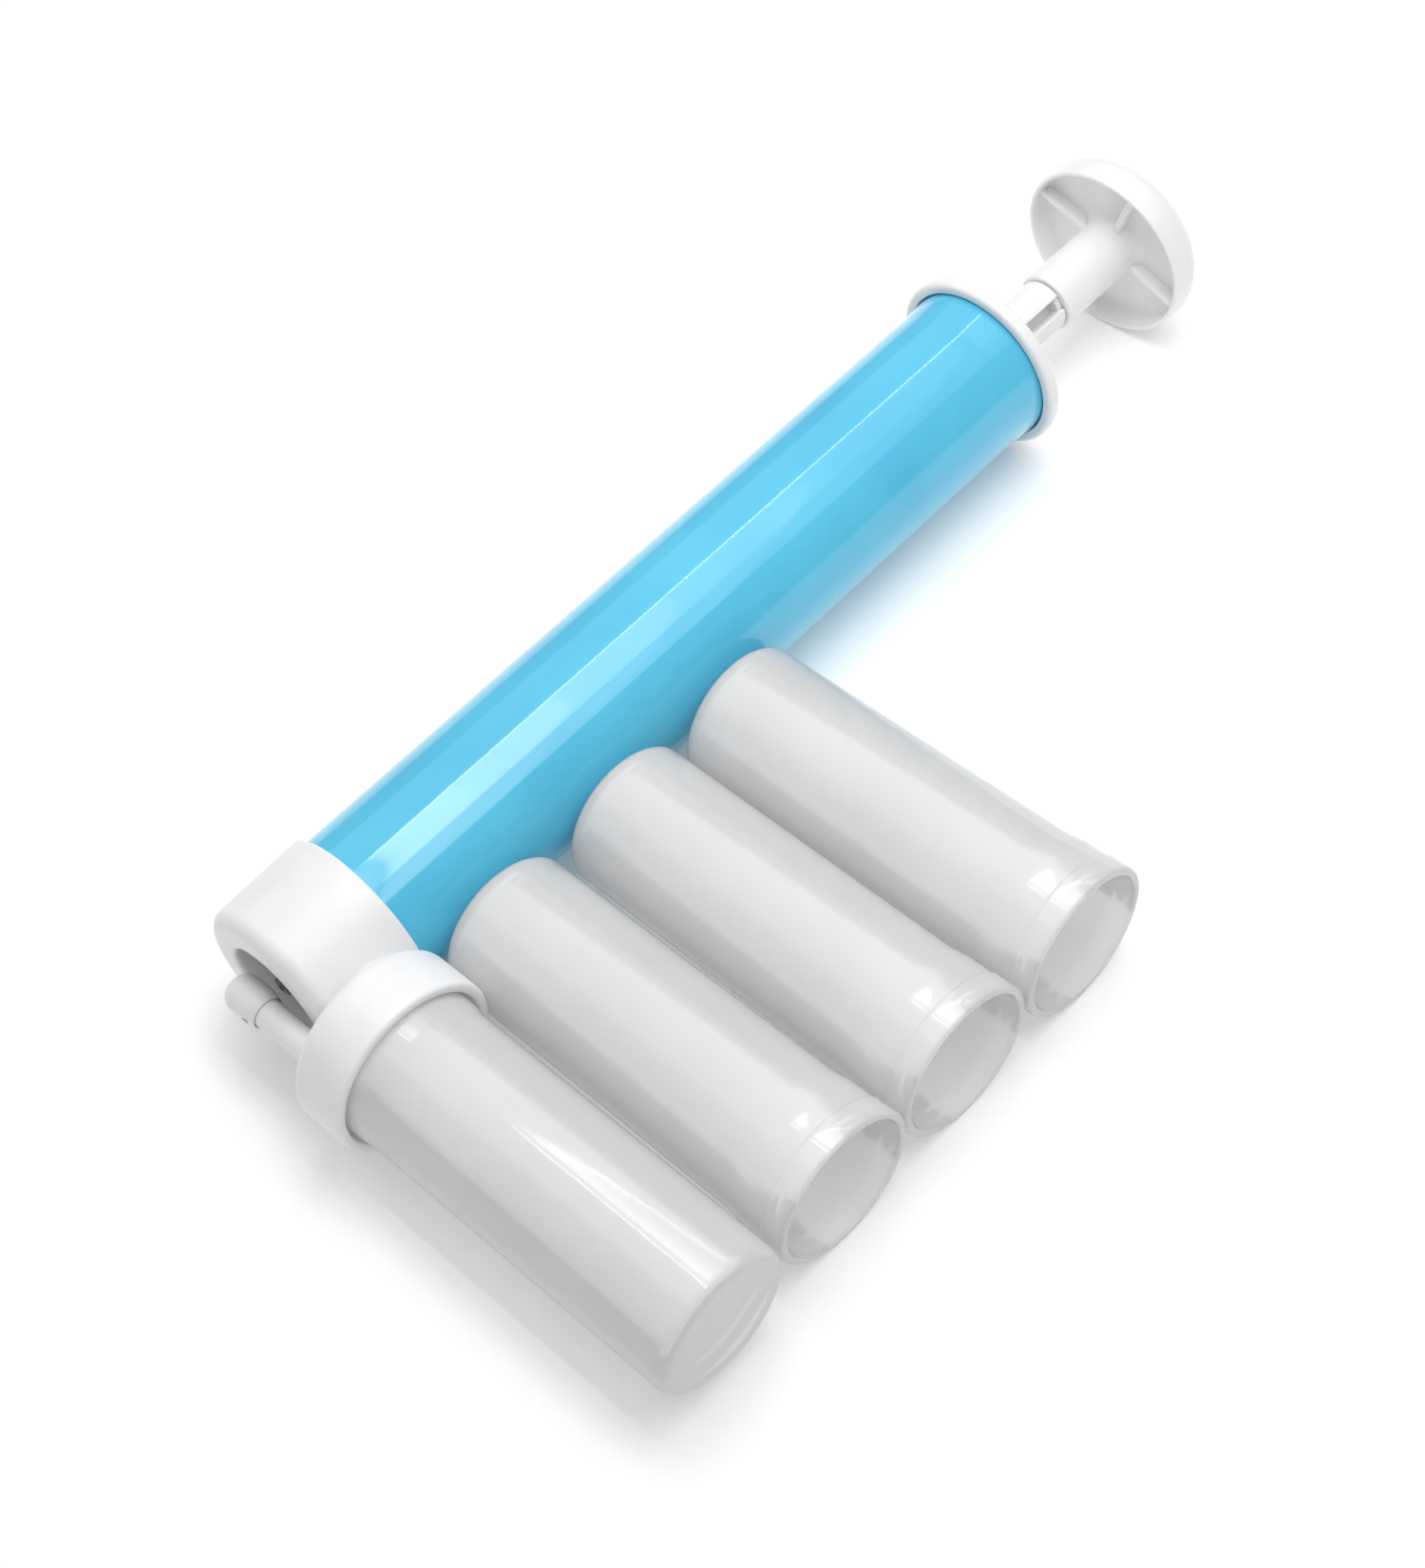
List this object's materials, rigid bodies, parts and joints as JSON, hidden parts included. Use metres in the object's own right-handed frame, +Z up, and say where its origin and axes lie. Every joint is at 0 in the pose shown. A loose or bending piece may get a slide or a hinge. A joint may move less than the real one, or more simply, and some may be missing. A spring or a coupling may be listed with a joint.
{
  "type": "hand powder pump",
  "caption": "Hand-pumped powder sprayer: blue barrel with a sliding knob, white spray head, pushed-in translucent jar, and loose spare jars beside it.",
  "frame": {"origin": "on the table, under the middle of the whole laid-out set", "axes": "+X along the barrel from the spray head to the knob, +Y away from the jars, +Z up from the table"},
  "size_m": [0.2716, 0.1311, 0.0417],
  "materials": {
    "blue_plastic": "glossy light blue plastic tube",
    "white_plastic": "white injection moulding, satin to glossy",
    "frosted_plastic": "milky translucent moulding",
    "soft_tube": "soft translucent tube",
    "grey_plastic": "plain dark grey moulded plastic",
    "grey_rubber": "plain grey seal rubber",
    "clear_silicone": "milky silicone ring",
    "steel": "plain steel screw"
  },
  "bodies": {
    "pump": {"barrel": "blue_plastic", "spray_head": "white_plastic", "air_nozzle": "grey_plastic", "nozzle_seal": "grey_rubber", "outlet_pipe": "white_plastic", "spray_tip": "white_plastic", "dip_tube": "soft_tube", "jar_gasket": "clear_silicone", "rear_cap": "white_plastic", "rod_guide": "white_plastic"},
    "plunger": {"plunger_rod": "white_plastic", "knob": "white_plastic", "piston_front": "white_plastic", "piston_seal": "grey_rubber", "piston_rear": "white_plastic", "piston_screw": "steel"},
    "mounted_jar": {"jar": "frosted_plastic"},
    "loose_jar_1": {"spare_jar_1": "frosted_plastic"},
    "loose_jar_2": {"spare_jar_2": "frosted_plastic"},
    "loose_jar_3": {"spare_jar_3": "frosted_plastic"}
  },
  "joints": [
    {"name": "plunger_slide", "type": "slide", "parent": "pump", "child": "plunger", "axis": [1, 0, 0.0085], "range_m": [-0.018, 0.137]},
    {"name": "jar_pull", "type": "slide", "parent": "pump", "child": "mounted_jar", "axis": [0, -1, -0.002], "range_m": [0, 0.09]},
    {"name": "jar_1_lift", "type": "slide", "parent": "pump", "child": "loose_jar_1", "axis": [0, 0, 1], "range_m": [0, 0.06]},
    {"name": "jar_2_lift", "type": "slide", "parent": "pump", "child": "loose_jar_2", "axis": [0, 0, 1], "range_m": [0, 0.06]},
    {"name": "jar_3_lift", "type": "slide", "parent": "pump", "child": "loose_jar_3", "axis": [0, 0, 1], "range_m": [0, 0.06]}
  ]
}
